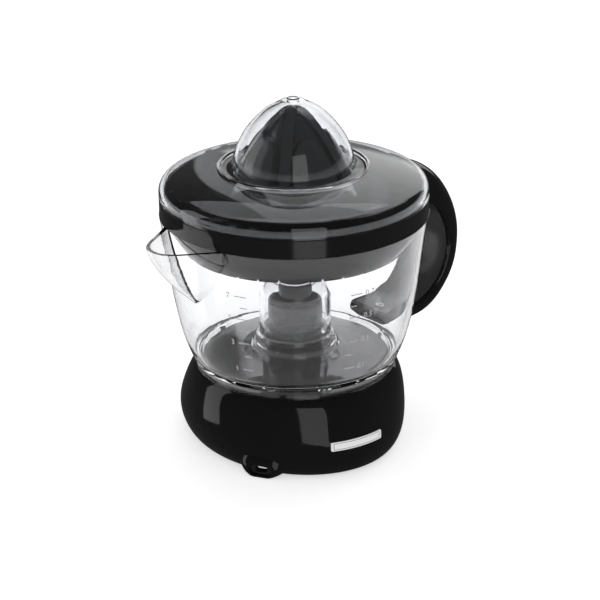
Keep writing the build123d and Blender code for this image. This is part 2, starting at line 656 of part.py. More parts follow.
def handle_block(inset, open_by):
    """A D-section bar bent round the handle, inset all round and let out past its inner face."""
    corners = 24
    with BuildPart() as block:
        for angle, shift in handle_stations:
            inner, edge, crown = handle_radii(angle)
            points = []
            for step in range(corners):
                turn = 2 * pi * step / corners
                outer_side = sin(turn) > 0
                power = 0.92 if outer_side else 0.42
                across = (handle_half_width - inset) * abs(cos(turn)) ** power
                reach = crown - inset - edge if outer_side else inner - open_by - edge
                outward = edge + reach * abs(sin(turn)) ** power
                points.append((across if cos(turn) > 0 else -across, outward))
            with BuildSketch(handle_plane(angle, shift)):
                with BuildLine():
                    Spline(*points, periodic=True)
                make_face()
        loft()
    return block


def clear_of_jug(grow):
    """The space of the jug's wall, and of the collar and the lid above it."""
    with BuildPart() as space:
        add(jug_block(grow).part)
        with Locations((0, 0, rim_z)):
            Cylinder(lid_radius + 1.0, 20.0, align=(Align.CENTER, Align.CENTER, Align.MIN))
    return space


jug_space = clear_of_jug(0.02)
with BuildPart() as handle_shell:
    add(handle_block(0.0, 0.0).part)
    add(handle_block(handle_wall, 3.0).part, mode=Mode.SUBTRACT)
    add(jug_space.part, mode=Mode.SUBTRACT)

liner_half_width = handle_half_width - handle_wall - 0.4
liner_thickness = 1.8
upper_head_z = handle_centre[1] + handle_radii(90)[0] + 2.3
lower_head_z = handle_centre[1] - handle_radii(-90)[0] - 3.3
with BuildPart() as handle_liner:
    # Dished strip set into the finger side, deepest half way round.
    for angle, shift in handle_stations:
        share = (angle / 90) ** 2
        front = handle_radii(angle)[0] + 2.2 - 1.0 * share
        back = front + liner_thickness
        dish = 2.0 - 0.6 * share
        with BuildSketch(handle_plane(angle, shift)):
            with BuildLine():
                ThreePointArc((-liner_half_width, front), (0, front + dish), (liner_half_width, front))
                Line((liner_half_width, front), (liner_half_width, back))
                ThreePointArc((liner_half_width, back), (0, back + dish), (-liner_half_width, back))
                Line((-liner_half_width, back), (-liner_half_width, front))
            make_face()
    loft()
    add(jug_space.part, mode=Mode.SUBTRACT)
    with Locations((upper_screw_x, 0, 134.0), (lower_screw_x, 0, 60.0)):
        Cylinder(1.5, 12.0, mode=Mode.SUBTRACT)
    with Locations((upper_screw_x, 0, upper_head_z - 4.0), (lower_screw_x, 0, lower_head_z + 4.0)):
        Cylinder(2.9, 8.0, mode=Mode.SUBTRACT)
    # Short grip ribs under the top of the finger side.
    for angle in range(34, 55, 5):
        with BuildSketch(handle_plane(angle)):
            with Locations((0, handle_radii(angle)[0] + 3.9)):
                Rectangle(13.0, 1.6)
        extrude(amount=0.6, both=True)

with BuildPart() as handle_screws:
    add(screw_group([(upper_screw_x, 0)], upper_head_z, 137.0, 2.6, 1.25).part)
    add(screw_group([(lower_screw_x, 0)], lower_head_z, 54.7, 2.6, 1.25).part)

# ---- Strainer ----

slit_count = 34
stem_radius = 6.35
sleeve_radius = 7.8
tube_radius = 9.4

with BuildPart() as strainer:
    with BuildSketch(Plane.XZ):
        with BuildLine():
            Polyline((sleeve_radius + loose_gap, 86.8), (tube_radius, 86.8), (tube_radius, 150.6),
                     (30.5, 149.6), (32.0, 147.6), (36.4, 121.4), (38.4, 119.3), (62.3, 119.3))
            ThreePointArc((62.3, 119.3), (68.6, 128.6), (72.7, rim_z - 0.4))
            Polyline((72.7, rim_z - 0.4), (72.7, rim_z + 0.1), (lid_radius, rim_z + 0.1),
                     (lid_radius, collar_top_z - 0.5), (lid_radius - 0.5, collar_top_z),
                     (72.4, collar_top_z), (72.0, 150.6), (70.3, 150.6), (69.9, 146.0))
            ThreePointArc((69.9, 146.0), (66.4, 131.0), (60.6, 122.2))
            Polyline((60.6, 122.2), (59.2, 121.5), (40.4, 122.2), (38.4, 124.0), (34.2, 149.0),
                     (32.2, 151.6), (14.0, 153.4), (sleeve_radius + loose_gap, 153.4),
                     (sleeve_radius + loose_gap, 86.8))
        make_face()
    revolve(axis=Axis.Z)
    with Locations((0, 0, 119.0)):
        with PolarLocations(53.0, slit_count):
            Box(22.0, 1.5, 6.0, mode=Mode.SUBTRACT)
    # Tabs that the lid's wall slips over.
    for azimuth in (-152.0, -32.0, 88.0):
        with Locations(Location(around(71.1, azimuth, collar_top_z), (0, 0, azimuth))):
            with Locations((0, -5.5, 0), (0, 5.5, 0)):
                Box(1.8, 4.0, 4.2, align=(Align.CENTER, Align.CENTER, Align.MIN))
            Box(1.6, 15.0, 1.2, align=(Align.CENTER, Align.CENTER, Align.MIN))

# ---- Reamer ----

stem_foot_z = 92.0
hub_top_z = 153.4
reamer_lobes = 5
lobe_azimuth = -107.0
fin_azimuth = -139.5


def flank(z, scale):
    """Radius of the reamer's outline at a height, scaled."""
    return scale * reamer_radius * (1 - (z - reamer_foot_z) / reamer_height) ** 0.6


def reamer_turned(scale, top_z):
    """The reamer's outline turned about the drive axis and closed at top_z."""
    heights = [reamer_foot_z + (top_z - reamer_foot_z) * share
               for share in (0, 0.2, 0.4, 0.6, 0.75, 0.87, 0.95)]
    with BuildPart() as body:
        with BuildSketch(Plane.XZ):
            with BuildLine():
                side = Spline(*[(flank(z, scale), z) for z in heights], (0, top_z),
                              tangents=[(-0.35, 1), (-1, 0)])
                Polyline((0, top_z), (0, reamer_foot_z), side @ 0)
            make_face()
        revolve(axis=Axis.Z)
    return body


stem_bush = turned([(stem_radius + sliding_gap, 95.0), (sleeve_radius - 0.4, 95.0),
                    (sleeve_radius, 96.0), (sleeve_radius, hub_top_z + 0.05),
                    (12.5, hub_top_z + 0.05), (12.5, hub_top_z + 1.6),
                    (stem_radius + sliding_gap, hub_top_z + 1.6)])
washer_z = hub_top_z + 1.6 + stroke + 0.3
thrust_washer = washer((0, 0), washer_z, washer_z + 1.0, 12.0, stem_radius + sliding_gap)

with BuildPart() as reamer_stem:
    with Locations((0, 0, stem_foot_z)):
        Cylinder(stem_radius, 172.0 - stem_foot_z, align=(Align.CENTER, Align.CENTER, Align.MIN))
    chamfer(reamer_stem.faces().sort_by(Axis.Z)[0].edges(), 0.6)
    add(hex_bar(stem_foot_z, shaft_top_z + 0.15, shaft_hex + 2 * sliding_gap).part, mode=Mode.SUBTRACT)

with BuildPart() as petal:
    add(reamer_turned(1.03, reamer_foot_z + reamer_height).part)
    with BuildSketch(Plane(origin=(0, 0, 0), x_dir=(0, 1, 0), z_dir=(1, 0, 0))):
        with BuildLine():
            Spline((-13.4, 156.0), (-12.4, 164.0), (-9.6, 173.5), (-5.4, 180.5), (0, 183.4),
                   (5.4, 180.5), (9.6, 173.5), (12.4, 164.0), (13.4, 156.0))
            Line((13.4, 156.0), (-13.4, 156.0))
        make_face()
    extrude(amount=60.0, mode=Mode.INTERSECT)

fin_half = 3.0
with BuildPart() as fin:
    with BuildSketch(Plane.XZ):
        with BuildLine():
            heights = [reamer_foot_z + reamer_height * share for share in (0, 0.2, 0.4, 0.6, 0.8, 0.93)]
            edge = Spline(*[(flank(z, 1.0), z) for z in heights], (1.0, reamer_foot_z + reamer_height))
            Polyline(edge @ 1, (0, reamer_foot_z + reamer_height), (0, reamer_foot_z), edge @ 0)
        make_face()
    extrude(amount=fin_half, both=True)

boss_radius = 9.2
with BuildPart() as reamer_cone:
    add(reamer_turned(0.86, 193.5).part)
    with PolarLocations(0, reamer_lobes, start_angle=lobe_azimuth):
        add(petal.part)
    with PolarLocations(0, reamer_lobes, start_angle=fin_azimuth):
        add(fin.part)
    add(turned([(26.0, 158.2), (33.4, 158.2), (33.4, 159.2), (32.6, reamer_foot_z + 0.4),
                (26.0, reamer_foot_z + 0.4)]).part)
    # Hollow underneath, round the stem's boss.
    with BuildSketch(Plane.XZ):
        with BuildLine():
            side = Spline((flank(160, 0.78), 160.0), (flank(168, 0.77), 168.0),
                          (flank(176, 0.74), 176.0), (flank(184, 0.66), 184.0))
            Polyline(side @ 1, (0, 184.0), (0, 157.0), (flank(160, 0.78), 157.0), side @ 0)
        make_face()
    revolve(axis=Axis.Z, mode=Mode.SUBTRACT)
    with Locations((0, 0, washer_z + 1.05)):
        Cylinder(boss_radius, 186.0 - washer_z, align=(Align.CENTER, Align.CENTER, Align.MIN))
    with Locations((0, 0, 150.0)):
        Cylinder(stem_radius + 0.02, 172.05 - 150.0, align=(Align.CENTER, Align.CENTER, Align.MIN),
                 mode=Mode.SUBTRACT)

# ---- Lid ----

def dome_points(foot_radius, top_z):
    """Points up the lid's dome, from its foot to just short of its top."""
    points = []
    for share in (0, 0.2, 0.4, 0.58, 0.74, 0.87, 0.95):
        points.append((foot_radius * (1 - share ** 1.62) ** 0.583,
                       dome_foot_z + (top_z - dome_foot_z) * share))
    return points


lid_wall = 2.0
with BuildPart() as lid:
    with BuildSketch(Plane.XZ):
        with BuildLine():
            lid_bottom = collar_top_z + 0.1
            Line((lid_radius, lid_bottom), (lid_radius, 150.6))
            ThreePointArc((lid_radius, 150.6), (73.6, 154.8), (69.9, 157.4))
            ThreePointArc((69.9, 157.4), (56.0, 161.4), (42.4, 164.2))
            ThreePointArc((42.4, 164.2), (41.2, 164.2), (40.4, 163.3))
            ThreePointArc((40.4, 163.3), (37.4, 162.6), (dome_radius, dome_foot_z))
            dome = Spline(*dome_points(dome_radius, lid_top_z), (0, lid_top_z),
                          tangents=[(-0.1, 1), (-1, 0)])
            Line((0, lid_top_z), (0, lid_top_z - lid_wall))
            under_dome = Spline(*dome_points(dome_radius - lid_wall, lid_top_z - lid_wall),
                                (0, lid_top_z - lid_wall), tangents=[(-0.1, 1), (-1, 0)])
            ThreePointArc(under_dome @ 0, (35.6, 161.2), (40.8, 161.0))
            ThreePointArc((40.8, 161.0), (56.0, 158.7), (69.3, 155.4))
            ThreePointArc((69.3, 155.4), (71.9, 153.6), (72.8, 150.6))
            Polyline((72.8, 150.6), (72.8, lid_bottom), (lid_radius, lid_bottom))
        make_face()
    revolve(axis=Axis.Z)
    add(turned([(2.3, lid_top_z - 0.6), (3.5, lid_top_z - 0.6), (3.5, lid_top_z),
                (3.1, lid_top_z + 0.4), (2.6, lid_top_z + 0.4), (2.3, lid_top_z)]).part)

# ---- Files ----

pieces = {
    "base_housing": base_housing, "badge": badge, "base_plate": base_plate,
    "foot_ring": foot_ring, "plate_screws": plate_screws, "tower_cap": tower_cap,
    "tower_bush": tower_bush, "tower_seal": tower_seal, "chassis_plate": chassis_plate,
    "chassis_screws": chassis_screws, "lower_bush": lower_bush, "motor_can": motor_can,
    "motor_cover": motor_cover, "motor_screws": motor_screws, "motor_winding": motor_winding,
    "motor_poles": motor_poles, "rotor_magnet": rotor_magnet, "motor_shaft": motor_shaft,
    "motor_pinion": motor_pinion, "idler_gear": idler_gear, "idler_pin": idler_pin,
    "idler_clip": idler_clip, "output_gear": output_gear, "drive_shaft": drive_shaft,
    "thrust_pad": thrust_pad, "press_spring": press_spring, "switch_body": switch_body,
    "switch_plunger": switch_plunger, "switch_terminals": switch_terminals,
    "cord_gland": cord_gland, "terminal_block": terminal_block,
    "terminal_screws": terminal_screws, "jug": jug, "handle_shell": handle_shell,
    "handle_liner": handle_liner, "handle_screws": handle_screws, "strainer": strainer,
    "stem_bush": stem_bush, "thrust_washer": thrust_washer, "reamer_stem": reamer_stem,
    "reamer_cone": reamer_cone, "lid": lid,
}
for name, piece in pieces.items():
    piece.part.label = name
    export_step(piece.part, f"parts/{name}.step")
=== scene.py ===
import math

import bpy
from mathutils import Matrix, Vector
from mathutils.bvhtree import BVHTree


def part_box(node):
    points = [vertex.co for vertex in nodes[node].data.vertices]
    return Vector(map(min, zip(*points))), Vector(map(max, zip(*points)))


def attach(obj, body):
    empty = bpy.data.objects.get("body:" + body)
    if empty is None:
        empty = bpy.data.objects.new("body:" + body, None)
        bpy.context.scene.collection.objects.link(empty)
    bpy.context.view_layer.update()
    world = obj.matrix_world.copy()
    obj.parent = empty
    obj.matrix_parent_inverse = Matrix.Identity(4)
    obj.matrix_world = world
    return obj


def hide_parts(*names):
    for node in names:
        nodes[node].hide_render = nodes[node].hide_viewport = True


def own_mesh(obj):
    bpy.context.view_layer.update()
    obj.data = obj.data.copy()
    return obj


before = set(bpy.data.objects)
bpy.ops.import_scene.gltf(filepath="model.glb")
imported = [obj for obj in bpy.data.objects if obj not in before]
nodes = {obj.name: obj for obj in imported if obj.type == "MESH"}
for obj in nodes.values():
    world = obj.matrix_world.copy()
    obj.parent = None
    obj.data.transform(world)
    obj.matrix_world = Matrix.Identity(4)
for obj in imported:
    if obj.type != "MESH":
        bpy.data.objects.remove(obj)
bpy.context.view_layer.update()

scene = bpy.context.scene

# ---- Camera ----
# The camera looks down at the spout and the front. VIEW_TURN is the azimuth of its right hand.
VIEW_TURN = math.radians(-40.0)
LOOK_HEIGHT = 0.0823      # of the point on the drive axis that it looks at
CAMERA_BACK = 0.9031      # horizontally from the drive axis
CAMERA_HEIGHT = 0.4727
NEAREST_SEEN = 0.05
LENS = 103.6
SENSOR = 36.0
SHIFT_X = 0.0082
ROLL = math.radians(-0.61)


def stand(across, away, up):
    """A point by how far it is to the camera's right, how far beyond the drive axis, and its height."""
    return Vector((across * math.cos(VIEW_TURN) - away * math.sin(VIEW_TURN),
                   across * math.sin(VIEW_TURN) + away * math.cos(VIEW_TURN), up))


def aim(obj, target):
    """Turns a lamp or camera so that it faces a point."""
    obj.rotation_euler = (Vector(target) - obj.location).to_track_quat("-Z", "Y").to_euler()


camera_data = bpy.data.cameras.new("camera")
camera_data.lens = LENS
camera_data.sensor_width = SENSOR
camera_data.shift_x = SHIFT_X
camera_data.clip_start = NEAREST_SEEN
camera = bpy.data.objects.new("camera", camera_data)
scene.collection.objects.link(camera)
camera.location = stand(0, -CAMERA_BACK, CAMERA_HEIGHT)
aim(camera, (0, 0, LOOK_HEIGHT))
camera.rotation_euler.rotate_axis("Z", ROLL)
scene.camera = camera

# ---- Light ----
OBJECT_MIDDLE = (0, 0, 0.1)


def softbox(name, spot, size, radiance):
    """A rectangular soft lamp, aimed at the object, that looks evenly bright at this radiance."""
    data = bpy.data.lights.new(name, "AREA")
    data.shape = "RECTANGLE"
    data.size, data.size_y = size
    data.energy = math.pi * size[0] * size[1] * radiance
    lamp = bpy.data.objects.new(name, data)
    scene.collection.objects.link(lamp)
    lamp.location = stand(*spot)
    aim(lamp, OBJECT_MIDDLE)
    lamp.visible_camera = False
    return lamp


# Each lamp's place is across, away and up. Polished parts don't mirror the one over the object.
softbox("softbox_top", (0.25, 1.0, 1.55), (1.9, 1.1), 1.0).visible_glossy = False
softbox("softbox_left", (-1.29, 0.10, 0.25), (0.50, 1.6), 1.0)
softbox("softbox_front", (0.34, -1.55, 0.32), (0.80, 1.9), 0.9)

# Broad light from nearly overhead, for the floor's soft shadow.
SKY_STRENGTH = 0.7
SKY_SPREAD = math.radians(150)
SKY_PLACE = (0.3, 0.2, 2.0)
sky_data = bpy.data.lights.new("sky", "SUN")
sky_data.energy = SKY_STRENGTH
sky_data.angle = SKY_SPREAD
sky = bpy.data.objects.new("sky", sky_data)
scene.collection.objects.link(sky)
sky.location = stand(*SKY_PLACE)
aim(sky, (0, 0, 0))
sky.visible_glossy = False
sky.visible_transmission = False

# The world: white behind everything, and what polished parts mirror besides the lamps, which is a dim
# room with a white panel standing behind the object.
ROOM = 0.06
PANEL = 1.05
PANEL_LEFT, PANEL_RIGHT = -0.11, 0.75     # across, for each unit away
PANEL_LOW, PANEL_TOP = 0.085, 1.15        # up, for each unit away
PANEL_EDGE, PANEL_LOW_EDGE = 0.01, 0.065  # half the width of the soft edges
PANEL_AHEAD = (0.02, 0.05)                # how far away a direction goes before it can meet the panel
LEAST_AWAY = 0.01                         # keeps the slopes below finite
# Directions by how far they go up: seen through clear parts, the white ends and the room starts, and for
# plain light the white fades to SKY_TOP overhead.
WHITE_END = (0.03, 0.12)
SKY_FADE = (0.10, 0.45)
SKY_TOP = 0.25
world = bpy.data.worlds.new("studio")
world.use_nodes = True
scene.world = world
world_tree = world.node_tree
world_tree.nodes["Background"].inputs["Color"].default_value = (1, 1, 1, 1)
direction = world_tree.nodes.new("ShaderNodeTexCoord").outputs["Generated"]
path = world_tree.nodes.new("ShaderNodeLightPath")


def world_maths(operation, a, b):
    """The result of a math node on two sockets or numbers."""
    node = world_tree.nodes.new("ShaderNodeMath")
    node.operation = operation
    for socket, value in zip(node.inputs, (a, b)):
        if isinstance(value, bpy.types.NodeSocket):
            world_tree.links.new(value, socket)
        else:
            socket.default_value = value
    return node.outputs[0]


def along(axis):
    """How far the direction goes along an axis."""
    node = world_tree.nodes.new("ShaderNodeVectorMath")
    node.operation = "DOT_PRODUCT"
    world_tree.links.new(direction, node.inputs[0])
    node.inputs[1].default_value = axis
    return node.outputs["Value"]


def faded(value, start, end, first=0.0, last=1.0):
    """A smooth step from first to last as the value goes from start to end."""
    node = world_tree.nodes.new("ShaderNodeMapRange")
    node.interpolation_type = "SMOOTHSTEP"
    world_tree.links.new(value, node.inputs["Value"])
    for socket, setting in (("From Min", start), ("From Max", end), ("To Min", first), ("To Max", last)):
        node.inputs[socket].default_value = setting
    return node.outputs["Result"]


up = along((0, 0, 1))
away = along(stand(0, 1, 0))
away_safe = world_maths("MAXIMUM", away, LEAST_AWAY)
slope_across = world_maths("DIVIDE", along(stand(1, 0, 0)), away_safe)
slope_up = world_maths("DIVIDE", up, away_safe)
panel = world_maths("MULTIPLY", faded(away, *PANEL_AHEAD), PANEL)
for edge in (faded(slope_across, PANEL_LEFT - PANEL_EDGE, PANEL_LEFT + PANEL_EDGE),
             faded(slope_across, PANEL_RIGHT - PANEL_EDGE, PANEL_RIGHT + PANEL_EDGE, 1.0, 0.0),
             faded(slope_up, PANEL_LOW - PANEL_LOW_EDGE, PANEL_LOW + PANEL_LOW_EDGE),
             faded(slope_up, PANEL_TOP - PANEL_EDGE, PANEL_TOP + PANEL_EDGE, 1.0, 0.0)):
    panel = world_maths("MULTIPLY", panel, edge)


def world_mix(factor, a, b):
    """Socket a where factor is 0, and b where it is 1."""
    node = world_tree.nodes.new("ShaderNodeMix")
    for socket, value in (("Factor", factor), ("A", a), ("B", b)):
        world_tree.links.new(value, node.inputs[socket])
    return node.outputs["Result"]


mirrored = world_maths("MAXIMUM", panel, ROOM)
through = world_maths("MAXIMUM", panel, faded(up, *WHITE_END, 1.0, ROOM))
sky_light = faded(up, *SKY_FADE, 1.0, SKY_TOP)
polished = world_mix(path.outputs["Is Transmission Ray"], mirrored, through)
world_tree.links.new(world_mix(path.outputs["Is Glossy Ray"], sky_light, polished),
             world_tree.nodes["Background"].inputs["Strength"])

# Light passes many clear walls, one behind the other.
CLEAR_BOUNCES = 16
GLOSSY_BOUNCES = 6
scene.view_settings.view_transform = "Standard"
scene.view_settings.look = "None"
scene.cycles.max_bounces = CLEAR_BOUNCES
scene.cycles.transmission_bounces = CLEAR_BOUNCES
scene.cycles.glossy_bounces = GLOSSY_BOUNCES


# ---- Materials ----
class Look:
    """A material with one Principled shader, and short ways to add nodes to it."""

    def __init__(self, name, **values):
        self.material = bpy.data.materials.new(name)
        self.material.use_nodes = True
        self.tree = self.material.node_tree
        self.shader = self.tree.nodes["Principled BSDF"]
        self.output = self.tree.nodes["Material Output"]
        for socket, value in values.items():
            self.shader.inputs[socket.replace("_", " ")].default_value = value
        self.place = self.node("ShaderNodeTexCoord").outputs["Object"]

    def node(self, kind, inputs=None, **settings):
        node = self.tree.nodes.new(kind)
        for name, value in settings.items():
            setattr(node, name, value)
        for socket, value in (inputs or {}).items():
            if isinstance(value, bpy.types.NodeSocket):
                self.tree.links.new(value, node.inputs[socket])
            else:
                node.inputs[socket].default_value = value
        return node

    def stretched(self, x, y, z):
        """The place on the object, with each axis scaled for a texture that runs along one of them."""
        return self.node("ShaderNodeMapping", {"Vector": self.place, "Scale": (x, y, z)}).outputs[0]

    def noise(self, scale, detail=3.0, rough=0.5, at=None):
        return self.node("ShaderNodeTexNoise", {"Vector": at or self.place, "Scale": scale,
                                                "Detail": detail, "Roughness": rough}).outputs["Fac"]

    def between(self, source, low, high, start=0.3, end=0.7):
        """The source's values from start to end, spread out from low to high."""
        return self.node("ShaderNodeMapRange", {"Value": source, "From Min": start, "From Max": end,
                                                "To Min": low, "To Max": high}).outputs["Result"]

    def maths(self, operation, a, b):
        return self.node("ShaderNodeMath", {0: a, 1: b}, operation=operation).outputs[0]

    def colour(self, source, dark, light, start=0.3, end=0.7):
        """Base colour from dark to light as the source goes from start to end."""
        ramp = self.node("ShaderNodeValToRGB", {"Fac": source})
        ramp.color_ramp.elements[0].position = start
        ramp.color_ramp.elements[0].color = (*dark, 1)
        ramp.color_ramp.elements[1].position = end
        ramp.color_ramp.elements[1].color = (*light, 1)
        self.tree.links.new(ramp.outputs["Color"], self.shader.inputs["Base Color"])

    def rough(self, source, low, high, start=0.3, end=0.7):
        self.tree.links.new(self.between(source, low, high, start, end), self.shader.inputs["Roughness"])

    def bump(self, height, distance, strength=1.0):
        node = self.node("ShaderNodeBump", {"Height": height, "Distance": distance, "Strength": strength})
        self.tree.links.new(node.outputs["Normal"], self.shader.inputs["Normal"])


def gloss_black(name, shade, low, high):
    """Polished black moulding: faint flow marks, wipe marks that dull it a little, and orange peel."""
    look = Look(name, IOR=1.5)
    flow = look.noise(14, 2.0, at=look.stretched(1, 1, 0.35))
    look.colour(flow, [c * 0.8 for c in shade], [c * 1.25 for c in shade])
    wipes = look.noise(60, 4.0, 0.6, at=look.stretched(1, 1, 0.25))
    look.rough(wipes, low, high, 0.35, 0.75)
    look.bump(look.noise(420, 2.0), 0.00002, 0.25)
    return look.material


def clear(name, tint, low, high):
    """Clear polished plastic that lets lamps through, with faint handling marks."""
    look = Look(name, IOR=1.46, Transmission_Weight=1.0, Base_Color=(*tint, 1))
    marks = look.noise(45, 4.0, 0.6)
    look.rough(marks, low, high, 0.5, 0.8)
    look.bump(look.noise(30, 1.0), 0.00012, 0.05)
    path = look.node("ShaderNodeLightPath")
    through = look.node("ShaderNodeBsdfTransparent")
    mix = look.node("ShaderNodeMixShader", {0: path.outputs["Is Shadow Ray"], 1: look.shader.outputs[0],
                                            2: through.outputs[0]})
    look.tree.links.new(mix.outputs[0], look.output.inputs["Surface"])
    return look.material


def satin(name, shade, low, high, grain=900, depth=0.00004):
    """Fine spark-eroded moulding: a small even grain, slightly uneven in tone."""
    look = Look(name, IOR=1.5)
    look.colour(look.noise(25, 3.0), [c * 0.88 for c in shade], [c * 1.12 for c in shade])
    look.rough(look.noise(70, 4.0, 0.6), low, high)
    look.bump(look.noise(grain, 2.0, 0.6), depth, 0.5)
    return look.material


def metal(name, shade, low, high, stretch=(1, 1, 12), grain=700):
    """Bare or plated metal with fine drawn lines, closest together along the axis with most stretch."""
    look = Look(name, Metallic=1.0)
    lines = look.noise(grain, 3.0, 0.6, at=look.stretched(*stretch))
    look.colour(look.noise(40, 3.0), [c * 0.85 for c in shade], shade)
    look.rough(lines, low, high)
    look.bump(lines, 0.00002, 0.4)
    return look.material


def winding(name):
    """Enamelled wire: close turns round the upright coil, a little uneven."""
    look = Look(name, Metallic=0.8, Roughness=0.3, Coat_Weight=0.5, Coat_Roughness=0.12)
    turns = look.node("ShaderNodeTexWave", {"Vector": look.place, "Scale": 420.0, "Distortion": 1.2,
                                            "Detail": 2.0, "Detail Scale": 3.0},
                      bands_direction="Z").outputs["Fac"]
    look.colour(turns, (0.28, 0.09, 0.03), (0.72, 0.30, 0.12), 0.2, 0.8)
    look.bump(turns, 0.0003, 0.7)
    return look.material


BADGE_AZIMUTH = math.radians(-98.5)
BADGE_MIDDLE = 0.0204                               # height
BADGE_LINE_ACROSS, BADGE_LINE_UP = 0.0148, 0.0018   # the inset line, from the badge's middle
BADGE_LINE_WIDTH = 0.00016                          # each side of its middle


def badge_plate(name, plate, line):
    """Pale enamelled plate with a thin line inset from its edges."""
    look = Look(name, IOR=1.5)
    away = look.node("ShaderNodeVectorMath", {0: look.place, 1: (-math.sin(BADGE_AZIMUTH),
                                                                math.cos(BADGE_AZIMUTH), 0.0)},
                     operation="DOT_PRODUCT").outputs["Value"]
    up = look.node("ShaderNodeSeparateXYZ", {0: look.place}).outputs["Z"]
    across = look.maths("SUBTRACT", look.maths("ABSOLUTE", away, 0.0), BADGE_LINE_ACROSS)
    upward = look.maths("SUBTRACT", look.maths("ABSOLUTE", look.maths("SUBTRACT", up, BADGE_MIDDLE), 0.0),
                        BADGE_LINE_UP)
    off_line = look.maths("ABSOLUTE", look.maths("MAXIMUM", across, upward), 0.0)
    tone = look.node("ShaderNodeMapRange", {"Value": off_line, "From Min": BADGE_LINE_WIDTH,
                                            "From Max": BADGE_LINE_WIDTH * 1.5}).outputs["Result"]
    look.colour(tone, line, plate, 0.0, 1.0)
    look.rough(look.noise(300, 3.0), 0.16, 0.24)
    return look.material


black_gloss = gloss_black("black_gloss", (0.0050, 0.0050, 0.0055), 0.035, 0.10)
black_collar = gloss_black("black_collar", (0.0065, 0.0065, 0.0068), 0.06, 0.14)
# The reamer is the same black plastic as the base. Its lighter base colour is painted sheen, standing in
# for reflections that the lamps don't give it.
reamer_painted_sheen = gloss_black("reamer_painted_sheen", (0.0520, 0.0520, 0.0530), 0.12, 0.20)
# The handle liner is the same black plastic as the shell. Its lighter base colour is painted sheen,
# standing in for the grey reflection on its inner face.
liner_painted_sheen = gloss_black("liner_painted_sheen", (0.0420, 0.0420, 0.0430), 0.16, 0.26)
clear_jug = clear("clear_jug", (0.965, 0.968, 0.978), 0.0, 0.02)
clear_lid = clear("clear_lid", (0.94, 0.955, 0.975), 0.0, 0.02)
black_satin = satin("black_satin", (0.012, 0.012, 0.013), 0.38, 0.5)
grey_satin = satin("grey_satin", (0.035, 0.035, 0.037), 0.22, 0.34)
block_grey = satin("block_grey", (0.20, 0.20, 0.21), 0.4, 0.5)
white_acetal = satin("white_acetal", (0.72, 0.70, 0.64), 0.3, 0.42)
rubber = satin("rubber", (0.014, 0.014, 0.014), 0.65, 0.8, 1400, 0.00008)
plate_white = badge_plate("plate_white", (0.80, 0.80, 0.79), (0.30, 0.30, 0.31))
mark_ink = satin("mark_ink", (0.42, 0.42, 0.44), 0.4, 0.6)
steel = metal("steel", (0.58, 0.58, 0.60), 0.20, 0.34)
zinc = metal("zinc", (0.56, 0.57, 0.58), 0.32, 0.48, (4, 1, 1), 300)
bronze = metal("bronze", (0.52, 0.34, 0.13), 0.32, 0.5, (1, 1, 1), 1200)
ferrite = satin("ferrite", (0.05, 0.05, 0.055), 0.5, 0.62, 700, 0.0001)
copper = winding("copper_winding")

looks = {
    black_gloss: ["base_housing", "handle_shell"],
    liner_painted_sheen: ["handle_liner"],
    black_collar: ["strainer"],
    reamer_painted_sheen: ["reamer_cone"],
    clear_jug: ["jug"],
    clear_lid: ["lid"],
    black_satin: ["base_plate", "reamer_stem", "stem_bush", "thrust_washer", "thrust_pad", "motor_cover",
                  "switch_body", "switch_plunger"],
    grey_satin: ["tower_cap"],
    block_grey: ["terminal_block"],
    white_acetal: ["motor_pinion", "idler_gear", "output_gear"],
    rubber: ["foot_ring", "tower_seal", "cord_gland"],
    plate_white: ["badge"],
    steel: ["plate_screws", "chassis_screws", "motor_screws", "handle_screws", "idler_pin", "idler_clip",
            "motor_shaft", "drive_shaft", "terminal_screws"],
    zinc: ["chassis_plate", "motor_can", "motor_poles"],
    bronze: ["tower_bush", "lower_bush", "switch_terminals"],
    ferrite: ["rotor_magnet"],
    copper: ["motor_winding"],
}
for material, names in looks.items():
    for name in names:
        nodes[name].data.materials.clear()
        nodes[name].data.materials.append(material)

# ---- Press spring ----
# It has the CAD spring's coils.
SPRING_TURNS = 5
SPRING_WIRE = 0.00045     # radius
SPRING_STEPS, WIRE_SIDES = 32, 12
press_low, press_high = (Vector(corner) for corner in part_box("press_spring"))


def spring_mesh(name):
    """A round wire wound upwards about the drive axis, closed at both ends."""
    radius = (press_high.x - press_low.x) / 2 - SPRING_WIRE
    low, high = press_low.z + SPRING_WIRE, press_high.z - SPRING_WIRE
    count = SPRING_TURNS * SPRING_STEPS
    points, faces = [], []
    for step in range(count + 1):
        turn = math.tau * step / SPRING_STEPS
        out = Vector((math.cos(turn), math.sin(turn), 0))
        middle = out * radius + Vector((0, 0, low + (high - low) * step / count))
        for side in range(WIRE_SIDES):
            lean = math.tau * side / WIRE_SIDES
            points.append(middle + out * (SPRING_WIRE * math.cos(lean))
                          + Vector((0, 0, SPRING_WIRE * math.sin(lean))))
    for step in range(count):
        for side in range(WIRE_SIDES):
            a, b = step * WIRE_SIDES + side, step * WIRE_SIDES + (side + 1) % WIRE_SIDES
            faces.append((a, a + WIRE_SIDES, b + WIRE_SIDES, b))
    faces.append(tuple(range(WIRE_SIDES)))
    faces.append(tuple(reversed(range(count * WIRE_SIDES, (count + 1) * WIRE_SIDES))))
    mesh = bpy.data.meshes.new(name)
    mesh.from_pydata(points, [], faces)
    for polygon in mesh.polygons:
        polygon.use_smooth = len(polygon.vertices) == 4
    mesh.materials.append(steel)
    return mesh


press_coil = bpy.data.objects.new("press_coil", spring_mesh("press_coil"))
scene.collection.objects.link(press_coil)
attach(press_coil, "base")
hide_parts("press_spring")
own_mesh(press_coil)

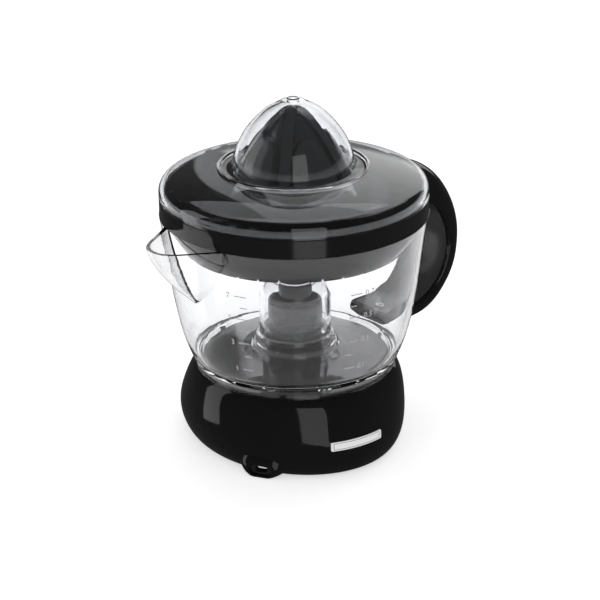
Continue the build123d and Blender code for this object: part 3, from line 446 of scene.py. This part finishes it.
# ---- Measuring marks on the jug ----
MARK_AZIMUTH = math.radians(-97.5)
FAR_MARK_AZIMUTH = math.radians(-159.5)
MARK_SINK, MARK_LIFT = 0.00010, 0.00012   # into the wall and out of it
LEVELS = [0.0662, 0.0752, 0.0836, 0.0915, 0.0988, 0.1057, 0.1125]   # heights of each 0.1 litre
WALL_RADIUS = 0.072       # at the marks, which turns distance along the wall into angle
OUTSIDE_RADIUS = 0.2      # clear of the jug
TICK_HEIGHT = 0.0005
TICK_STEPS = 6
TICK_START = 0.0105       # from the middle of the marks to the outer end of each tick
LONG_TICK_END, SHORT_TICK_END = 0.0035, 0.0065
DIGIT_SIZE = 0.0048
DIGIT_THICKNESS = 0.0001
DIGIT_LEFT, DIGIT_DROP = -0.0015, 0.0014   # from the middle of the marks, and below the tick

jug_mesh = nodes["jug"].data
jug_place = nodes["jug"].matrix_world
jug_wall = BVHTree.FromPolygons([jug_place @ vertex.co for vertex in jug_mesh.vertices],
                                [polygon.vertices[:] for polygon in jug_mesh.polygons])


def wall_point(azimuth, height, lift):
    """A point over the jug's outside wall."""
    out = Vector((math.cos(azimuth), math.sin(azimuth), 0))
    hit = jug_wall.ray_cast(out * OUTSIDE_RADIUS + Vector((0, 0, height)), -out)[0]
    return hit + out * lift


def wrap(name, flat, azimuth):
    """Bends a flat mesh, x across and y up, onto the wall as a thin printed mark."""
    for vertex in flat.vertices:
        x, y, z = vertex.co
        vertex.co = wall_point(azimuth + x / WALL_RADIUS, y, MARK_LIFT if z > 0 else -MARK_SINK)
    mark = bpy.data.objects.new(name, flat)
    scene.collection.objects.link(mark)
    flat.materials.append(mark_ink)
    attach(mark, "jug_body")


def tick_mesh(name, low, left, right):
    """A thin bar from left to right in short steps, so that it can follow the wall."""
    high = low + TICK_HEIGHT
    last = TICK_STEPS * 4
    points, faces = [], []
    for step in range(TICK_STEPS + 1):
        x = left + (right - left) * step / TICK_STEPS
        points += [(x, low, -1), (x, high, -1), (x, high, 1), (x, low, 1)]
    for step in range(TICK_STEPS):
        for corner in range(4):
            a, b = step * 4 + corner, step * 4 + (corner + 1) % 4
            faces.append((a, b, b + 4, a + 4))
    faces += [(3, 2, 1, 0), (last, last + 1, last + 2, last + 3)]
    mesh = bpy.data.meshes.new(name)
    mesh.from_pydata(points, [], faces)
    return mesh


def digits_mesh(name, digits, level):
    """Digits beside a tick as a thin solid, x across and y up."""
    curve = bpy.data.curves.new(name, "FONT")
    curve.body = digits
    curve.size = DIGIT_SIZE
    curve.resolution_u = 3
    curve.extrude = DIGIT_THICKNESS
    letters = bpy.data.objects.new(name, curve)
    scene.collection.objects.link(letters)
    bpy.context.view_layer.update()
    mesh = bpy.data.meshes.new_from_object(letters.evaluated_get(bpy.context.evaluated_depsgraph_get()))
    mesh.materials.clear()
    bpy.data.objects.remove(letters)
    bpy.data.curves.remove(curve)
    for vertex in mesh.vertices:
        vertex.co.x += DIGIT_LEFT
        vertex.co.y += level - DIGIT_DROP
    return mesh


# Every second tick is long and has its number: tenths of a litre as 0.1 on one side, and as 1 on the other.
for number, level in enumerate(LEVELS, 1):
    numbered = number % 2 == 1
    end = LONG_TICK_END if numbered else SHORT_TICK_END
    near, far = f"tick_{number}", f"far_tick_{number}"
    wrap(near, tick_mesh(near, level, -TICK_START, -end), MARK_AZIMUTH)
    wrap(far, tick_mesh(far, level, end, TICK_START), FAR_MARK_AZIMUTH)
    if numbered:
        near, far = f"level_{number}", f"far_level_{number}"
        wrap(near, digits_mesh(near, f"0.{number}", level), MARK_AZIMUTH)
        wrap(far, digits_mesh(far, str(number), level), FAR_MARK_AZIMUTH)

# ---- Floor ----
FLOOR_HALF = 12.0
FLOOR_GLOW = 0.55         # keeps the soft shadow faint
floor_corners = [(-FLOOR_HALF, -FLOOR_HALF, 0), (FLOOR_HALF, -FLOOR_HALF, 0),
                 (FLOOR_HALF, FLOOR_HALF, 0), (-FLOOR_HALF, FLOOR_HALF, 0)]
floor_mesh = bpy.data.meshes.new("floor")
floor_mesh.from_pydata(floor_corners, [], [(0, 1, 2, 3)])
floor = bpy.data.objects.new("floor", floor_mesh)
scene.collection.objects.link(floor)
floor_look = Look("floor", Roughness=0.9, Specular_IOR_Level=0.1, Emission_Color=(1, 1, 1, 1),
                  Emission_Strength=FLOOR_GLOW)
floor_look.colour(floor_look.noise(3, 2.0), (0.90, 0.90, 0.90), (0.92, 0.92, 0.92))
floor_mesh.materials.append(floor_look.material)
floor.visible_glossy = False
